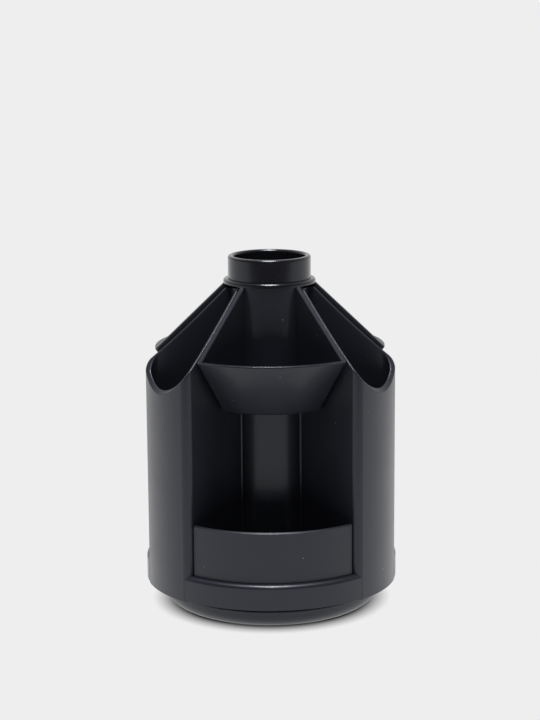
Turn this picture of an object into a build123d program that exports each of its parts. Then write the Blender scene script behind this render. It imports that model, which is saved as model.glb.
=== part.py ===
"""Rotating desk organizer: three tall pockets and three two-tier bays that turn on a round base."""

import math
import os

from build123d import *

# Overall sizes, mm
OUTER_R = 51.4
TOTAL_H = 142.8
COLLAR_H = 10.9
SLEEVE_DROP = 1.5
FOOT_PROUD = 0.6
BASE_TOP = 8.0
LIP_Z = 10.1
SKIRT_DROP = 0.4
FLOOR_TOP = 20.2
FLOOR_T = 2.0
FLANGE_Z = TOTAL_H - COLLAR_H
SLEEVE_TOP = FLANGE_Z - SLEEVE_DROP
SKIRT_Z = LIP_Z - SKIRT_DROP

# Plan of one bay: a point on its right wall from the axis, and the wall's direction in degrees
WALL_X = 11.9
WALL_Y = 12.0
WALL_DIR = 38.0
BAY_FROM_POCKET = 60.0

# Shell
SLEEVE_R = 16.4
SLEEVE_T = 1.5
SLEEVE_BITE = 0.4
POCKET_WALL_T = 2.0
POCKET_SIDE_T = 1.3
POCKET_CORNER_R = 3.0
POCKET_INNER_R = 3.0
SCOOP_R = 39.0
SCOOP_SLOPE = 1.15
SCOOP_LOW_Z = 91.6
RIM_ROUND = 0.5
BEAD_R = 0.55
BOSS_R = 3.0
BOSS_OUT = 2.9
BOSS_H = 13.5
LEDGE_T = 2.0
LEDGE_W = 2.0
LEDGE_L = 7.7
BOSS_AT_R = SLEEVE_R + BOSS_OUT

# Dish
SKIRT_GAP = 0.1
LIP_ROUND = 1.5
LIP_BULGE = 0.5
LIP_T = 2.2
LIP_END_DEG = 19.0
DISH_WALL_T = 2.0
LOWER_FRONT_BACK = 2.7
LOWER_FRONT_T = 1.6
LOWER_FRONT_H = 20.6
LOWER_END_GAP = 0.5
LOWER_RIM_ROUND = 0.5
HUB_R = 7.5
RIB_T = 1.6
RIB_UP = 2.0
LOWER_FRONT_R = OUTER_R - LOWER_FRONT_BACK
LOWER_RIM_Z = FLOOR_TOP + LOWER_FRONT_H

# Upper trays
TRAY_GAP = 1.4
TRAY_SIDE_T = 1.9
TRAY_FRONT_T = 1.8
TRAY_FLOOR_T = 1.8
TRAY_BACK_T = 1.6
TRAY_BACK_GAP = 0.1
TRAY_Z = 83.6
TRAY_H = 22.2
TRAY_RIM_BACK = 4.7
TRAY_FLARE = 16.0
TRAY_CORNER = 1.2
TRAY_FOOT_ROUND = 1.6
TRAY_RIM_PROUD = 0.3
TRAY_EDGE = 0.35
TRAY_RIM_Z = TRAY_Z + TRAY_H
TRAY_RIM_R = OUTER_R - TRAY_RIM_BACK
TRAY_FOOT_R = TRAY_RIM_R - TRAY_FLARE

# Collar
FLANGE_R = 18.65
FLANGE_T = 1.7
FLANGE_ROUND = 1.1
COLLAR_R = 16.74
COLLAR_ROUND = 1.0
COLLAR_MOUTH_R = 14.4
MOUTH_DEPTH = 5.0
MOUTH_TAPER = 1.5
SPIGOT_CLEAR = 0.02
SPIGOT_T = 1.28
SPIGOT_L = 11.9
SPIGOT_R = SLEEVE_R - SLEEVE_T - SPIGOT_CLEAR

# Base and feet
BASE_FOOT_R = 40.5
BASE_BELLY_OUT = 3.2
BASE_BELLY_UP = 3.0
BASE_FLARE = 4.3
BASE_ROUND = 1.0
BASE_T = 2.0
BASE_DECK_T = 3.0
HUB_CLEAR = 0.05
FOOT_R = 5.0
FOOT_AT_R = 31.0
FOOT_T = 1.8
FOOT_CLEAR = 0.05
FOOT_WALL = 1.4
FOOT_ROUND = 0.4
POD_UP = 0.2
BASE_TOP_R = BASE_FOOT_R + BASE_FLARE
DECK_Z = BASE_TOP - BASE_DECK_T

# Glide ring between the base and the dish's track
GLIDE_OUT_R = 38.2
GLIDE_W = 2.9
GLIDE_SUNK = 1.0
GLIDE_CLEAR = 0.05
TRACK_EDGE = 0.3
GLIDE_IN_R = GLIDE_OUT_R - GLIDE_W

# Pivot
HUB_BELOW = 0.1
WASHER_R = 11.0
WASHER_T = 1.2
WASHER_CLEAR = 0.15
PIVOT_R = 1.75
PIVOT_HEAD_R = 3.6
PIVOT_HEAD_H = 2.0
PIVOT_L = 9.8
PILOT_CLEAR = 0.02
HUB_Z = DECK_Z - HUB_BELOW

# Screws that hold the shell to the dish
FIXING_R = 1.33
FIXING_HEAD_R = 2.9
FIXING_HEAD_H = 1.8
FIXING_L = 9.5
FIXING_HOLE_CLEAR = 0.4
SLOT_W = 0.7

# Overlap that joins two forms of one piece into one solid
JOIN = 0.5

UP = (Align.CENTER, Align.CENTER, Align.MIN)


def ring(radius_out, radius_in, low, high):
    """A plain ring about +Z."""
    outer = Pos(0, 0, low) * Cylinder(radius_out, high - low, align=UP)
    if radius_in <= 0:
        return outer
    return outer - Pos(0, 0, low - JOIN) * Cylinder(radius_in, high - low + 2 * JOIN, align=UP)


def turned(points):
    """A solid turned about +Z from a closed (r, z) outline."""
    return revolve(make_face(Plane.XZ * Polyline(*points, close=True)), Axis.Z)


def three(solid, start=0.0):
    """The same solid at three places round +Z."""
    copies = [Rot(0, 0, start + 120 * i) * solid for i in range(3)]
    return copies[0] + copies[1] + copies[2]


def circles(solid, radius):
    """The circular edges of one radius."""
    return [e for e in solid.edges() if e.geom_type == GeomType.CIRCLE and abs(e.radius - radius) < 0.01]


def side_line(inset, near, far):
    """Two plan points on the right side of the front bay, moved toward the bay's middle by inset."""
    a = math.radians(WALL_DIR)
    x0 = WALL_X - inset * math.cos(a)
    y0 = -WALL_Y - inset * math.sin(a)
    return [(x0 + t * math.sin(a), y0 - t * math.cos(a)) for t in (near, far)]


def bay_wedge(inset, low, high):
    """The space between a bay's two side walls, moved in by inset."""
    near, far = side_line(inset, -WALL_Y / 2, OUTER_R * 1.2)
    pts = [near, far, (-far[0], far[1]), (-near[0], near[1])]
    return extrude(Pos(0, 0, low) * make_face(Polyline(*pts, close=True)), high - low)


def pocket_plan(side, wall, corner):
    """Plan of a pocket centred on -Y, moved in by side and wall, with rounded outer corners."""
    a = math.radians(WALL_DIR - BAY_FROM_POCKET)
    turn = math.radians(BAY_FROM_POCKET)
    px = WALL_X * math.cos(turn) - WALL_Y * math.sin(turn) + side * math.cos(a)
    py = -WALL_X * math.sin(turn) - WALL_Y * math.cos(turn) + side * math.sin(a)
    back = WALL_Y / 10
    reach = OUTER_R * 1.2
    near = (px - back * math.sin(a), py + back * math.cos(a))
    far = (px + reach * math.sin(a), py - reach * math.cos(a))
    fan = make_face(Polyline(near, far, (-far[0], far[1]), (-near[0], near[1]), close=True))
    plan = fan & Circle(OUTER_R - wall)
    tips = plan.vertices().sort_by(Axis.Y)[:2]
    return fillet(tips, corner)


def scoop():
    """The tilted cylinder that cuts a pocket's mouth, for a pocket centred on -Y."""
    lean = math.atan(SCOOP_SLOPE)
    along = (0, math.cos(lean), math.sin(lean))
    up = (0, -math.sin(lean), math.cos(lean))
    start = Vector(0, -OUTER_R, SCOOP_LOW_Z) + Vector(*up) * SCOOP_R - Vector(*along) * OUTER_R
    plane = Plane(origin=start, x_dir=(1, 0, 0), z_dir=along)
    return plane * Cylinder(SCOOP_R, OUTER_R * 4, align=UP)


def sector(half_angle, radius_out, radius_in, low, high):
    """Part of a ring centred on -Y."""
    a = math.radians(half_angle)
    r = radius_out * 1.6
    side = (r * math.sin(a), -r * math.cos(a))
    fan = make_face(Polyline((0, 0), (-side[0], side[1]), (0, -r * 1.4), side, close=True))
    return extrude(Pos(0, 0, low) * (fan & (Circle(radius_out) - Circle(radius_in))), high - low)


def pocket():
    """One pocket of the shell, centred on -Y, with its scooped mouth, skirt and screw boss."""
    height = SLEEVE_TOP - FLOOR_TOP
    wall = extrude(Pos(0, 0, FLOOR_TOP) * pocket_plan(0, 0, POCKET_CORNER_R), height)
    core = pocket_plan(POCKET_SIDE_T, POCKET_WALL_T, POCKET_INNER_R) - Circle(SLEEVE_R - SLEEVE_BITE)
    wall -= extrude(Pos(0, 0, FLOOR_TOP - JOIN) * core, height + 2 * JOIN)
    wall -= scoop()
    wall -= ring(SLEEVE_R - SLEEVE_BITE, 0, 0, TOTAL_H)
    mouth = [f for f in wall.faces() if f.geom_type == GeomType.CYLINDER and abs(f.radius - SCOOP_R) < 0.01]
    rim = []
    for edge in [e for f in mouth for e in f.edges()]:
        middle = edge.center()
        if math.hypot(middle.X, middle.Y) > SLEEVE_R + JOIN:
            rim.append(edge)
    wall = fillet(rim, RIM_ROUND)
    foot = pocket_plan(0, 0, POCKET_CORNER_R) - Circle(OUTER_R - POCKET_WALL_T)
    skirt = extrude(Pos(0, 0, SKIRT_Z) * foot, FLOOR_TOP - SKIRT_Z)
    boss = Pos(0, -BOSS_AT_R, FLOOR_TOP) * Cylinder(BOSS_R, BOSS_H, align=UP)
    return wall + skirt + boss


def body_shell():
    shell = three(pocket(), 60) + ring(SLEEVE_R, SLEEVE_R - SLEEVE_T, FLOOR_TOP, SLEEVE_TOP)
    ledge_z = TRAY_Z - LEDGE_T
    bead = Cylinder(BEAD_R, ledge_z - FLOOR_TOP, align=UP)
    x, y = side_line(0, 0, LEDGE_L)[0]
    beads = Pos(x, y, FLOOR_TOP) * bead + Pos(-x, y, FLOOR_TOP) * bead
    edge = side_line(LEDGE_W, LEDGE_W / 2, LEDGE_L)
    out = side_line(-JOIN / 2, 0.0, LEDGE_L)
    plan = make_face(Polyline(out[0], out[1], edge[1], edge[0], close=True))
    ledge = extrude(Pos(0, 0, ledge_z) * plan, LEDGE_T)
    shell = shell + three(beads) + three(ledge + mirror(ledge, Plane.YZ))
    shell -= ring(SLEEVE_R - SLEEVE_T, 0, 0, TOTAL_H)
    pilot = Cylinder(FIXING_R + PILOT_CLEAR, FIXING_L + JOIN, align=UP)
    return shell - three(Pos(0, -BOSS_AT_R, FLOOR_TOP - JOIN) * pilot, 60)


def bottom_dish():
    under = FLOOR_TOP - FLOOR_T
    inner = OUTER_R - POCKET_WALL_T - SKIRT_GAP
    low = FLOOR_TOP - LIP_ROUND
    rounding = ThreePointArc((OUTER_R, low), (OUTER_R - LIP_BULGE, FLOOR_TOP - LIP_BULGE), (OUTER_R - LIP_ROUND, FLOOR_TOP))
    rest = Polyline((OUTER_R - LIP_ROUND, FLOOR_TOP), (0, FLOOR_TOP), (0, LIP_Z), (OUTER_R, LIP_Z), (OUTER_R, low))
    drum = revolve(make_face(Plane.XZ * (rounding + rest)), Axis.Z)
    notch = offset(pocket_plan(0, 0, POCKET_CORNER_R), SKIRT_GAP) - Circle(inner)
    drum -= three(extrude(Pos(0, 0, LIP_Z - JOIN) * notch, FLOOR_TOP - LIP_Z + 2 * JOIN), 60)
    drum -= ring(inner - DISH_WALL_T, 0, LIP_Z - JOIN, under)
    hollow = sector(BAY_FROM_POCKET - LIP_END_DEG, OUTER_R - LIP_T, inner - DISH_WALL_T - JOIN, LIP_Z - JOIN, under)
    drum -= three(hollow)
    track_in = GLIDE_IN_R - TRACK_EDGE
    drum += ring(GLIDE_OUT_R + TRACK_EDGE, track_in, LIP_Z, under + JOIN)
    drum += ring(HUB_R, 0, HUB_Z, under + JOIN)
    rib = Box(RIB_T, track_in + JOIN, under + JOIN - LIP_Z - RIB_UP, align=(Align.CENTER, Align.MAX, Align.MIN))
    drum += three(Pos(0, 0, LIP_Z + RIB_UP) * rib)
    front = ring(LOWER_FRONT_R, LOWER_FRONT_R - LOWER_FRONT_T, FLOOR_TOP - JOIN, LOWER_RIM_Z)
    top = [e for e in front.edges() if e.geom_type == GeomType.CIRCLE and abs(e.center().Z - LOWER_RIM_Z) < 0.01]
    front = chamfer(top, LOWER_RIM_ROUND)
    front &= sector(BAY_FROM_POCKET, OUTER_R, SLEEVE_R, FLOOR_TOP - JOIN, LOWER_RIM_Z)
    clear = offset(pocket_plan(0, 0, POCKET_CORNER_R), LOWER_END_GAP)
    clear = extrude(Pos(0, 0, FLOOR_TOP - 2 * JOIN) * clear, LOWER_FRONT_H * 2)
    front -= Rot(0, 0, BAY_FROM_POCKET) * clear + Rot(0, 0, -BAY_FROM_POCKET) * clear
    drum += three(front)
    drum -= three(Pos(0, -BOSS_AT_R, 0) * Cylinder(FIXING_R + FIXING_HOLE_CLEAR, FLOOR_TOP * 3), 60)
    return drum - ring(PIVOT_R, 0, HUB_Z - JOIN, under - JOIN)


def foot_edges(solid):
    """The edges round an upper tray's foot, without the one against the sleeve."""
    foot = [e for e in solid.edges() if abs(e.center().Z - TRAY_Z) < 0.01]
    return [e for e in foot if math.hypot(e.center().X, e.center().Y) > SLEEVE_R * 1.1]


def corner_edges(solid):
    """The two front corners of an upper tray, from foot to rim."""
    middle = (TRAY_Z + TRAY_RIM_Z) / 2
    corners = [e for e in solid.edges() if abs(e.center().Z - middle) < TRAY_H / 12]
    return [e for e in corners if math.hypot(e.center().X, e.center().Y) > TRAY_FOOT_R]


def fin_edges(solid):
    """The four sloping top edges of an upper tray's side fins."""
    high = []
    for edge in solid.edges():
        box = edge.bounding_box()
        rise = box.max.Z - box.min.Z
        if box.min.Z > TRAY_RIM_Z - TRAY_RIM_PROUD and rise > (FLANGE_Z - TRAY_RIM_Z) / 2 and edge.length > TRAY_H:
            high.append(edge)
    return high


def upper_tray():
    back = SLEEVE_R + TRAY_BACK_GAP
    outline = [
        (back, TRAY_Z),
        (TRAY_FOOT_R, TRAY_Z),
        (TRAY_RIM_R, TRAY_RIM_Z),
        (FLANGE_R, FLANGE_Z),
        (back, FLANGE_Z),
    ]
    outer = turned(outline) & bay_wedge(TRAY_GAP, TRAY_Z, FLANGE_Z)
    outer = fillet(corner_edges(outer), TRAY_CORNER)
    outer = fillet(foot_edges(outer), TRAY_FOOT_ROUND)
    lean = math.atan(TRAY_FLARE / TRAY_H)
    wide = TRAY_FRONT_T / math.cos(lean)
    inside = back + TRAY_BACK_T
    floor = TRAY_Z + TRAY_FLOOR_T
    rim = TRAY_RIM_Z + TRAY_RIM_PROUD
    hollow = [
        (inside, floor),
        (TRAY_FOOT_R - wide + TRAY_FLOOR_T * math.tan(lean), floor),
        (TRAY_RIM_R - wide + TRAY_RIM_PROUD * math.tan(lean), rim),
        (OUTER_R, rim),
        (OUTER_R, TOTAL_H),
        (inside, TOTAL_H),
    ]
    tray = outer - (turned(hollow) & bay_wedge(TRAY_GAP + TRAY_SIDE_T, TRAY_Z, TOTAL_H))
    return chamfer(fin_edges(tray), TRAY_EDGE)


def collar_ring():
    bore = SPIGOT_R - SPIGOT_T
    outline = [
        (bore, FLANGE_Z - SPIGOT_L),
        (SPIGOT_R, FLANGE_Z - SPIGOT_L),
        (SPIGOT_R, FLANGE_Z),
        (FLANGE_R, FLANGE_Z),
        (FLANGE_R, FLANGE_Z + FLANGE_T),
        (COLLAR_R, FLANGE_Z + FLANGE_T),
        (COLLAR_R, TOTAL_H),
        (COLLAR_MOUTH_R, TOTAL_H),
        (COLLAR_MOUTH_R, TOTAL_H - MOUTH_DEPTH),
        (bore, TOTAL_H - MOUTH_DEPTH - MOUTH_TAPER),
    ]
    collar = turned(outline)
    collar = fillet([e for e in collar.edges() if abs(e.center().Z - TOTAL_H) < 0.01], COLLAR_ROUND)
    return fillet([e for e in circles(collar, FLANGE_R) if e.center().Z > FLANGE_Z + FLANGE_T / 2], FLANGE_ROUND)


def turntable_base():
    belly = (BASE_FOOT_R + BASE_BELLY_OUT, FOOT_PROUD + BASE_BELLY_UP)
    skirt = ThreePointArc((BASE_FOOT_R, FOOT_PROUD), belly, (BASE_TOP_R, BASE_TOP))
    rest = Polyline(
        (BASE_TOP_R, BASE_TOP),
        (0, BASE_TOP),
        (0, DECK_Z),
        (belly[0] - BASE_T, DECK_Z),
        (BASE_FOOT_R - BASE_T, FOOT_PROUD),
        (BASE_FOOT_R, FOOT_PROUD),
    )
    base = revolve(make_face(Plane.XZ * (skirt + rest)), Axis.Z)
    base = fillet(circles(base, BASE_TOP_R), BASE_ROUND)
    for i in range(4):
        at = Rot(0, 0, 45 + 90 * i) * Pos(0, -FOOT_AT_R, 0)
        base += at * ring(FOOT_R + FOOT_WALL, 0, FOOT_PROUD + POD_UP, DECK_Z + JOIN)
        base -= at * ring(FOOT_R + FOOT_CLEAR, 0, 0, FOOT_T)
    base -= ring(GLIDE_OUT_R + GLIDE_CLEAR, GLIDE_IN_R - GLIDE_CLEAR, BASE_TOP - GLIDE_SUNK, BASE_TOP + JOIN)
    return base - ring(HUB_R + HUB_CLEAR, 0, 0, BASE_TOP * 2)


def glide_ring():
    return ring(GLIDE_OUT_R, GLIDE_IN_R, BASE_TOP - GLIDE_SUNK, LIP_Z - GLIDE_CLEAR)


def rubber_foot(index):
    foot = ring(FOOT_R, 0, 0, FOOT_T)
    foot = fillet([e for e in circles(foot, FOOT_R) if e.center().Z < FOOT_T / 2], FOOT_ROUND)
    return Rot(0, 0, 45 + 90 * index) * Pos(0, -FOOT_AT_R, 0) * foot


def screw(shank_r, head_r, head_h, seat_z, length):
    """A pan-head screw that points up, with its head's face at seat_z."""
    low = seat_z - head_h
    head = ring(head_r, 0, low, seat_z)
    head = fillet([e for e in circles(head, head_r) if e.center().Z < seat_z - head_h / 2], head_h * 0.4)
    body = head + ring(shank_r, 0, seat_z - JOIN, seat_z + length)
    cross = Box(head_r * 1.1, SLOT_W, head_h * 0.9) + Box(SLOT_W, head_r * 1.1, head_h * 0.9)
    return body - Pos(0, 0, low) * cross


def main():
    os.makedirs("parts", exist_ok=True)
    washer_z = HUB_Z - WASHER_T
    nodes = {
        "turntable_base": turntable_base(),
        "glide_ring": glide_ring(),
        "pivot_washer": ring(WASHER_R, PIVOT_R + WASHER_CLEAR, washer_z, HUB_Z),
        "pivot_screw": screw(PIVOT_R - PILOT_CLEAR, PIVOT_HEAD_R, PIVOT_HEAD_H, washer_z, PIVOT_L),
        "bottom_dish": bottom_dish(),
        "body_shell": body_shell(),
        "collar_ring": collar_ring(),
    }
    for i in range(4):
        nodes[f"rubber_foot_{i + 1}"] = rubber_foot(i)
    tray = upper_tray()
    fixing = screw(FIXING_R, FIXING_HEAD_R, FIXING_HEAD_H, FLOOR_TOP - FLOOR_T, FIXING_L)
    for i in range(3):
        nodes[f"upper_tray_{i + 1}"] = Rot(0, 0, 120 * i) * tray
        nodes[f"dish_screw_{i + 1}"] = Rot(0, 0, 60 + 120 * i) * Pos(0, -BOSS_AT_R, 0) * fixing
    for name, solid in nodes.items():
        print(name, solid.is_valid, len(solid.solids()), round(solid.volume, 1))
        export_step(solid, f"parts/{name}.step")


if __name__ == "__main__":
    main()
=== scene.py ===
"""Rotating desk organizer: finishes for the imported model, with its floor, lamps and camera."""

import math

import bpy
from mathutils import Matrix, Vector

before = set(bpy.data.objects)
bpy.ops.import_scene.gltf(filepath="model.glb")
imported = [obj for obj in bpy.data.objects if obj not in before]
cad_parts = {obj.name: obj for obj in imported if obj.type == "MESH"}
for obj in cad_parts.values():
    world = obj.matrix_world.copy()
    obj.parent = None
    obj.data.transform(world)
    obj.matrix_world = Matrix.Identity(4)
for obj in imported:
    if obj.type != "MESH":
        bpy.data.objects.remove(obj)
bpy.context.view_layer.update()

bl_info = {
    "name": "Rotating Desk Organizer",
    "version": (1, 0, 0),
    "blender": (4, 5, 0),
    "location": "View3D > Sidebar > Organizer",
    "description": "Finishes a turning desk organizer and sets its stage",
    "category": "Object",
}

# Black plastic: the bluish sheen of its surface, a thin glossier skin, faint clouds and pale specks.
# Each Voronoi cell whose random value is above SPECK_CUT has a speck, which fades over SPECK_EDGE.
SHEEN = (0.84, 0.88, 1.0, 1.0)
SHEEN_LEVEL = 0.30
SKIN_WEIGHT = 0.16
SKIN_ROUGHNESS = 0.14
CLOUD_SCALE = 45.0
CLOUD_DETAIL = 4.0
CLOUD_ROUGHNESS = 0.55
GRAIN_DETAIL = 3.0
GRAIN_ROUGHNESS = 0.6
PIGMENT_SHIFT = 0.1
CLOUD_GLOSS_SHIFT = 0.03
GRAIN_GLOSS_SHIFT = 0.02
SPECK_EDGE = (0.016, 0.036)
SPECK_CUT = 0.45
SPECK_LEVEL = 0.6
SPECK_COLOUR = (0.42, 0.42, 0.42, 1.0)
# Gain on the shell pigment for the trays: a paler copy, painted light for their brighter faces
TRAY_PAINTED_LIGHT = 1.05
COLLAR_GRAIN_SHARE = 0.4

# The range of values that a noise mostly takes, and a wider one
NOISE_SPAN = (0.3, 0.7)
WIDE_SPAN = (0.25, 0.75)

# Space between nodes in the node editor
NODE_STEP = 200

# Studio, in metres and watts: lamps by size, place and power, and the point that they face
LAMP_AIM = (0.0, 0.0, 0.07)
LAMPS = (
    ("top_lamp", 0.30, (0.0, -0.1, 1.0), 15.0),
    ("front_lamp", 0.15, (0.0, -0.5, 0.9), 3.0),
)
ROOM_TO_SCREENS = (-0.5, 0.8)
SHADOW_RAMP = (0.1, 0.85)
SHADOW_SAMPLES = 32
FLOOR_MATTE = (0.25, 0.25, 0.25, 1.0)
SENSOR_WIDTH = 36.0
CLIP_START = 0.01


class OrganizerFinish(bpy.types.PropertyGroup):
    """Colours and surface sizes of the moulded parts."""

    shell_colour: bpy.props.FloatVectorProperty(
        name="Shell colour", description="Pigment of the pockets, dish and trays",
        subtype="COLOR", size=3, min=0, max=1, default=(0.0080, 0.0086, 0.0125))
    collar_colour: bpy.props.FloatVectorProperty(
        name="Collar colour", description="Pigment of the collar round the centre tube",
        subtype="COLOR", size=3, min=0, max=1, default=(0.0050, 0.0050, 0.0065))
    shell_roughness: bpy.props.FloatProperty(
        name="Shell roughness", description="Roughness of the satin mouldings",
        min=0, max=1, default=0.40)
    collar_roughness: bpy.props.FloatProperty(
        name="Collar roughness", description="Roughness of the collar", min=0, max=1, default=0.2)
    grain: bpy.props.FloatProperty(
        name="Grain size", description="Width of one grain of the moulded texture",
        subtype="DISTANCE", unit="LENGTH", default=0.0005)
    grain_depth: bpy.props.FloatProperty(
        name="Grain depth", description="Height of the moulded texture",
        subtype="DISTANCE", unit="LENGTH", default=0.00001)
    speck_spacing: bpy.props.FloatProperty(
        name="Speck spacing", description="Distance between the pale specks in the plastic",
        subtype="DISTANCE", unit="LENGTH", default=0.0065)


class OrganizerStage(bpy.types.PropertyGroup):
    """The view and the studio."""

    distance: bpy.props.FloatProperty(
        name="Camera distance", description="From the turning axis to the camera, level",
        subtype="DISTANCE", unit="LENGTH", default=0.7697)
    height: bpy.props.FloatProperty(
        name="Camera height", description="Above the table",
        subtype="DISTANCE", unit="LENGTH", default=0.2555)
    pitch: bpy.props.FloatProperty(
        name="Camera pitch", description="Downward tilt", subtype="ANGLE", unit="ROTATION",
        default=math.radians(11.456))
    roll: bpy.props.FloatProperty(
        name="Camera roll", description="Turn about the line of sight", subtype="ANGLE", unit="ROTATION",
        default=math.radians(-0.421))
    azimuth: bpy.props.FloatProperty(
        name="Camera azimuth", description="Turn round the object", subtype="ANGLE", unit="ROTATION",
        default=math.radians(-1.0))
    lens: bpy.props.FloatProperty(
        name="Lens", description="Focal length in mm for a 36 mm sensor side", default=96.61)
    floor_size: bpy.props.FloatProperty(
        name="Floor size", description="Side of the pale floor",
        subtype="DISTANCE", unit="LENGTH", default=8.0)
    floor_front: bpy.props.FloatProperty(
        name="Floor front", description="From the object's axis to the floor's front edge",
        subtype="DISTANCE", unit="LENGTH", default=0.5)
    backdrop: bpy.props.FloatProperty(
        name="Backdrop level", description="Brightness that the camera sees behind the object",
        min=0, max=1, default=0.855)
    surroundings: bpy.props.FloatProperty(
        name="Screen level", description="Brightness of the pale screens behind and beside the object",
        min=0, max=2, default=0.9)
    room: bpy.props.FloatProperty(
        name="Room level", description="Brightness of the room behind the camera",
        min=0, max=2, default=0.10)
    floor_glow: bpy.props.FloatProperty(
        name="Floor glow", description="Light that the pale floor sends back besides what falls on it",
        min=0, max=2, default=0.9)
    shadow_reach: bpy.props.FloatProperty(
        name="Shadow reach", description="How far the contact shadow spreads on the floor",
        subtype="DISTANCE", unit="LENGTH", default=0.009)


class Nodes:
    """Adds and links the nodes of a material or world from left to right."""

    def __init__(self, owner):
        owner.use_nodes = True
        self.tree = owner.node_tree
        self.tree.nodes.clear()
        self.column = 0

    def add(self, kind, **settings):
        node = self.tree.nodes.new(kind)
        node.location = (self.column * NODE_STEP, 0)
        self.column += 1
        for name, value in settings.items():
            setattr(node, name, value)
        return node

    def link(self, source, target):
        self.tree.links.new(source, target)

    def coordinates(self):
        return self.add("ShaderNodeTexCoord").outputs["Object"]

    def noise(self, vector, scale, detail, roughness=0.5):
        node = self.add("ShaderNodeTexNoise")
        self.link(vector, node.inputs["Vector"])
        node.inputs["Scale"].default_value = scale
        node.inputs["Detail"].default_value = detail
        node.inputs["Roughness"].default_value = roughness
        return node.outputs["Fac"]

    def spread(self, value, low, high, to_low, to_high):
        node = self.add("ShaderNodeMapRange", clamp=True)
        self.link(value, node.inputs["Value"])
        node.inputs["From Min"].default_value = low
        node.inputs["From Max"].default_value = high
        node.inputs["To Min"].default_value = to_low
        node.inputs["To Max"].default_value = to_high
        return node.outputs["Result"]

    def maths(self, operation, first, second):
        node = self.add("ShaderNodeMath", operation=operation)
        for socket, value in ((node.inputs[0], first), (node.inputs[1], second)):
            if isinstance(value, (int, float)):
                socket.default_value = value
            else:
                self.link(value, socket)
        return node.outputs["Value"]

    def mix(self, factor, first, second):
        node = self.add("ShaderNodeMix", data_type="RGBA")
        self.link(factor, node.inputs["Factor"])
        for socket, value in ((node.inputs["A"], first), (node.inputs["B"], second)):
            if isinstance(value, tuple):
                socket.default_value = value
            else:
                self.link(value, socket)
        return node.outputs["Result"]

    def bump(self, height, distance):
        node = self.add("ShaderNodeBump")
        self.link(height, node.inputs["Height"])
        node.inputs["Distance"].default_value = distance
        return node.outputs["Normal"]

    def background(self, level):
        """A white light from all round. The level is a number or another node's value."""
        node = self.add("ShaderNodeBackground")
        node.inputs["Color"].default_value = (1.0, 1.0, 1.0, 1.0)
        self.level(node, level)
        return node.outputs["Background"]

    def emission(self, level):
        """White light from a surface. The level is a number or another node's value."""
        node = self.add("ShaderNodeEmission")
        self.level(node, level)
        return node.outputs["Emission"]

    def level(self, node, level):
        if isinstance(level, float):
            node.inputs["Strength"].default_value = level
        else:
            self.link(level, node.inputs["Strength"])

    def both(self, first, second):
        node = self.add("ShaderNodeAddShader")
        self.link(first, node.inputs[0])
        self.link(second, node.inputs[1])
        return node.outputs["Shader"]

    def blend(self, factor, first, second):
        node = self.add("ShaderNodeMixShader")
        self.link(factor, node.inputs["Fac"])
        self.link(first, node.inputs[1])
        self.link(second, node.inputs[2])
        return node.outputs["Shader"]

    def surface(self, colour, roughness, normal, **values):
        node = self.add("ShaderNodeBsdfPrincipled")
        self.link(colour, node.inputs["Base Color"])
        self.link(roughness, node.inputs["Roughness"])
        self.link(normal, node.inputs["Normal"])
        for name, value in values.items():
            node.inputs[name.replace("_", " ")].default_value = value
        output = self.add("ShaderNodeOutputMaterial")
        self.link(node.outputs["BSDF"], output.inputs["Surface"])


def rgba(colour, gain=1.0):
    return tuple(min(1.0, channel * gain) for channel in colour) + (1.0,)


def moulded_plastic(name, colour, roughness, grain, depth, speck_spacing):
    """Satin moulded plastic: fine grain, faint clouds in colour and gloss, and sparse pale specks."""
    material = bpy.data.materials.new(name)
    nodes = Nodes(material)
    place = nodes.coordinates()
    cloud = nodes.noise(place, CLOUD_SCALE, CLOUD_DETAIL, CLOUD_ROUGHNESS)
    fine = nodes.noise(place, 1.0 / grain, GRAIN_DETAIL, GRAIN_ROUGHNESS)
    tone = nodes.spread(cloud, *NOISE_SPAN, 0.0, 1.0)
    base = nodes.mix(tone, rgba(colour, 1.0 - PIGMENT_SHIFT), rgba(colour, 1.0 + PIGMENT_SHIFT))
    cells = nodes.add("ShaderNodeTexVoronoi", feature="F1", voronoi_dimensions="3D")
    nodes.link(place, cells.inputs["Vector"])
    cells.inputs["Scale"].default_value = 1.0 / speck_spacing
    near = nodes.spread(cells.outputs["Distance"], *SPECK_EDGE, 1.0, 0.0)
    pick = nodes.add("ShaderNodeSeparateColor")
    nodes.link(cells.outputs["Color"], pick.inputs["Color"])
    chosen = nodes.maths("GREATER_THAN", pick.outputs["Red"], SPECK_CUT)
    speck = nodes.maths("MULTIPLY", near, chosen)
    level = nodes.maths("MULTIPLY", speck, SPECK_LEVEL)
    base = nodes.mix(level, base, SPECK_COLOUR)
    smooth = roughness - CLOUD_GLOSS_SHIFT
    rough = roughness + CLOUD_GLOSS_SHIFT
    gloss = nodes.spread(cloud, *WIDE_SPAN, smooth, rough)
    shift = nodes.spread(fine, *NOISE_SPAN, -GRAIN_GLOSS_SHIFT, GRAIN_GLOSS_SHIFT)
    gloss = nodes.maths("ADD", gloss, shift)
    normal = nodes.bump(fine, depth)
    nodes.surface(
        base, gloss, normal, Specular_IOR_Level=SHEEN_LEVEL, Specular_Tint=SHEEN,
        Coat_Weight=SKIN_WEIGHT, Coat_Roughness=SKIN_ROUGHNESS)
    return material


def clouded_material(
        name, scale, dark, pale, smooth, rough, grain_scale, grain_detail, depth, **values):
    """A finish whose colour and roughness drift between two values, with a grain on top."""
    material = bpy.data.materials.new(name)
    nodes = Nodes(material)
    place = nodes.coordinates()
    cloud = nodes.noise(place, scale, GRAIN_DETAIL)
    grain = nodes.noise(place, grain_scale, grain_detail)
    base = nodes.mix(cloud, dark, pale)
    gloss = nodes.spread(cloud, *NOISE_SPAN, smooth, rough)
    nodes.surface(base, gloss, nodes.bump(grain, depth), **values)
    return material


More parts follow.
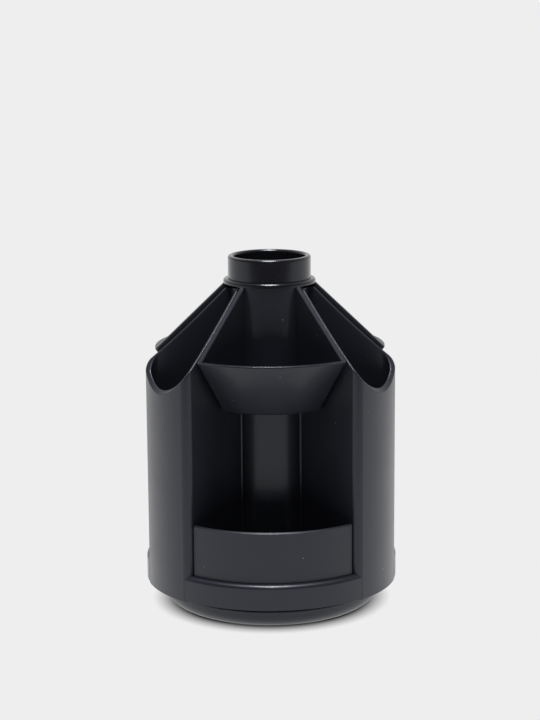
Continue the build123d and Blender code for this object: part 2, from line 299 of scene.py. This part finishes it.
def plated_steel():
    return clouded_material(
        "plated_steel", scale=400.0, dark=(0.52, 0.53, 0.55, 1.0), pale=(0.66, 0.66, 0.64, 1.0),
        smooth=0.28, rough=0.4, grain_scale=4000.0, grain_detail=2.0, depth=0.00001, Metallic=1.0)


def soft_rubber():
    return clouded_material(
        "foot_rubber", scale=1600.0, dark=(0.012, 0.012, 0.012, 1.0), pale=(0.022, 0.022, 0.022, 1.0),
        smooth=0.75, rough=0.88, grain_scale=1600.0, grain_detail=GRAIN_DETAIL, depth=0.00003)


def slick_plastic():
    return clouded_material(
        "glide_plastic", scale=120.0, dark=(0.62, 0.62, 0.58, 1.0), pale=(0.72, 0.72, 0.69, 1.0),
        smooth=0.35, rough=0.45, grain_scale=120.0, grain_detail=GRAIN_DETAIL, depth=0.00001,
        Subsurface_Weight=0.05)


def dress(node_name, material):
    """Gives a CAD node its finish."""
    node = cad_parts[node_name]
    node.data.materials.clear()
    node.data.materials.append(material)


def shell_material(name, painted_light_gain=1.0):
    """The satin black plastic of the mouldings; a gain above 1 makes a paler copy, which is painted light.
    """
    look = bpy.context.scene.organizer_finish
    colour = tuple(channel * painted_light_gain for channel in look.shell_colour)
    return moulded_plastic(
        name, colour, look.shell_roughness, look.grain, look.grain_depth, look.speck_spacing)


class ORGANIZER_OT_body(bpy.types.Operator):
    """Finish the pocket shell and the turning dish"""

    bl_idname = "organizer.body"
    bl_label = "Body Shell and Dish"

    def execute(self, context):
        dress("body_shell", shell_material("pocket_plastic"))
        dress("bottom_dish", shell_material("dish_plastic"))
        return {"FINISHED"}


class ORGANIZER_OT_trays(bpy.types.Operator):
    """Finish the three upper trays"""

    bl_idname = "organizer.trays"
    bl_label = "Upper Trays"

    def execute(self, context):
        # Painted light: the trays get a paler copy of the shell plastic
        material = shell_material("tray_plastic", TRAY_PAINTED_LIGHT)
        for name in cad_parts:
            if name.startswith("upper_tray"):
                dress(name, material)
        return {"FINISHED"}


class ORGANIZER_OT_collar(bpy.types.Operator):
    """Finish the collar round the centre tube"""

    bl_idname = "organizer.collar"
    bl_label = "Collar"

    def execute(self, context):
        look = context.scene.organizer_finish
        material = moulded_plastic(
            "collar_plastic", tuple(look.collar_colour), look.collar_roughness,
            look.grain, look.grain_depth * COLLAR_GRAIN_SHARE, look.speck_spacing)
        dress("collar_ring", material)
        return {"FINISHED"}


class ORGANIZER_OT_base(bpy.types.Operator):
    """Finish the base, its glide ring and its feet"""

    bl_idname = "organizer.base"
    bl_label = "Base and Feet"

    def execute(self, context):
        dress("turntable_base", shell_material("base_plastic"))
        dress("glide_ring", slick_plastic())
        rubber = soft_rubber()
        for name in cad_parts:
            if name.startswith("rubber_foot"):
                dress(name, rubber)
        return {"FINISHED"}


class ORGANIZER_OT_fasteners(bpy.types.Operator):
    """Finish the pivot screw, its washer and the dish screws"""

    bl_idname = "organizer.fasteners"
    bl_label = "Fasteners"

    def execute(self, context):
        steel = plated_steel()
        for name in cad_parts:
            if "screw" in name or "washer" in name:
                dress(name, steel)
        return {"FINISHED"}


def add_lamp(name, size, place, power):
    """A flat square lamp that faces LAMP_AIM."""
    bpy.ops.object.light_add(type="AREA", location=place)
    lamp = bpy.context.object
    lamp.name = name
    lamp.data.size = size
    lamp.data.energy = power
    direction = Vector(LAMP_AIM) - Vector(place)
    lamp.rotation_euler = direction.to_track_quat("-Z", "Y").to_euler()


class ORGANIZER_OT_stage(bpy.types.Operator):
    """Lay the pale floor, hang the lamps and set the camera"""

    bl_idname = "organizer.stage"
    bl_label = "Stage"

    def execute(self, context):
        view = context.scene.organizer_stage
        self.world(context, view)
        self.floor(context, view)
        self.lamps()
        self.camera(context, view)
        context.scene.view_settings.view_transform = "Standard"
        return {"FINISHED"}

    def world(self, context, view):
        """A dim room in front of the object and pale screens behind it. The camera sees an even backdrop."""
        world = bpy.data.worlds.new("studio")
        context.scene.world = world
        nodes = Nodes(world)
        place = nodes.add("ShaderNodeTexCoord")
        direction = nodes.add("ShaderNodeSeparateXYZ")
        nodes.link(place.outputs["Generated"], direction.inputs["Vector"])
        level = nodes.spread(direction.outputs["Y"], *ROOM_TO_SCREENS, view.room, view.surroundings)
        path = nodes.add("ShaderNodeLightPath")
        result = nodes.blend(
            path.outputs["Is Camera Ray"], nodes.background(level), nodes.background(view.backdrop))
        output = nodes.add("ShaderNodeOutputWorld")
        nodes.link(result, output.inputs["Surface"])

    def floor(self, context, view):
        """A pale lit floor: even for the camera but for the object's contact shadow."""
        bpy.ops.object.select_all(action="DESELECT")
        middle = view.floor_size / 2 - view.floor_front
        bpy.ops.mesh.primitive_plane_add(size=view.floor_size, location=(0, middle, 0))
        floor = context.object
        floor.name = "floor"
        material = bpy.data.materials.new("pale_floor")
        nodes = Nodes(material)
        matte = nodes.add("ShaderNodeBsdfDiffuse")
        matte.inputs["Color"].default_value = FLOOR_MATTE
        lit = nodes.both(matte.outputs["BSDF"], nodes.emission(view.floor_glow))
        near = nodes.add("ShaderNodeAmbientOcclusion", samples=SHADOW_SAMPLES)
        near.inputs["Distance"].default_value = view.shadow_reach
        level = nodes.spread(near.outputs["AO"], *SHADOW_RAMP, 0.0, view.backdrop)
        path = nodes.add("ShaderNodeLightPath")
        result = nodes.blend(path.outputs["Is Camera Ray"], lit, nodes.emission(level))
        output = nodes.add("ShaderNodeOutputMaterial")
        nodes.link(result, output.inputs["Surface"])
        floor.data.materials.append(material)

    def lamps(self):
        for lamp in LAMPS:
            add_lamp(*lamp)

    def camera(self, context, view):
        turn = Matrix.Rotation(view.azimuth, 4, "Z")
        place = Matrix.Translation((0.0, -view.distance, view.height))
        tilt = Matrix.Rotation(math.pi / 2 - view.pitch, 4, "X")
        roll = Matrix.Rotation(view.roll, 4, "Z")
        bpy.ops.object.camera_add()
        camera = context.object
        camera.name = "photo_camera"
        camera.matrix_world = turn @ place @ tilt @ roll
        camera.data.lens = view.lens
        camera.data.sensor_width = SENSOR_WIDTH
        camera.data.clip_start = CLIP_START
        context.scene.camera = camera


class ORGANIZER_PT_panel(bpy.types.Panel):
    """The organizer's steps, in the 3D view's sidebar"""

    bl_label = "Desk Organizer"
    bl_idname = "ORGANIZER_PT_panel"
    bl_space_type = "VIEW_3D"
    bl_region_type = "UI"
    bl_category = "Organizer"

    def draw(self, context):
        column = self.layout.column()
        for operator in STEPS:
            column.operator(operator.bl_idname)
        for group in (context.scene.organizer_finish, context.scene.organizer_stage):
            box = self.layout.box()
            for name in group.__annotations__:
                box.prop(group, name)


STEPS = (
    ORGANIZER_OT_body,
    ORGANIZER_OT_trays,
    ORGANIZER_OT_collar,
    ORGANIZER_OT_base,
    ORGANIZER_OT_fasteners,
    ORGANIZER_OT_stage,
)
CLASSES = (OrganizerFinish, OrganizerStage) + STEPS + (ORGANIZER_PT_panel,)


def register():
    for item in CLASSES:
        bpy.utils.register_class(item)
    bpy.types.Scene.organizer_finish = bpy.props.PointerProperty(type=OrganizerFinish)
    bpy.types.Scene.organizer_stage = bpy.props.PointerProperty(type=OrganizerStage)


def unregister():
    del bpy.types.Scene.organizer_stage
    del bpy.types.Scene.organizer_finish
    for item in reversed(CLASSES):
        bpy.utils.unregister_class(item)


def main():
    register()
    bpy.ops.organizer.body()
    bpy.ops.organizer.trays()
    bpy.ops.organizer.collar()
    bpy.ops.organizer.base()
    bpy.ops.organizer.fasteners()
    bpy.ops.organizer.stage()


if __name__ == "__main__":
    main()
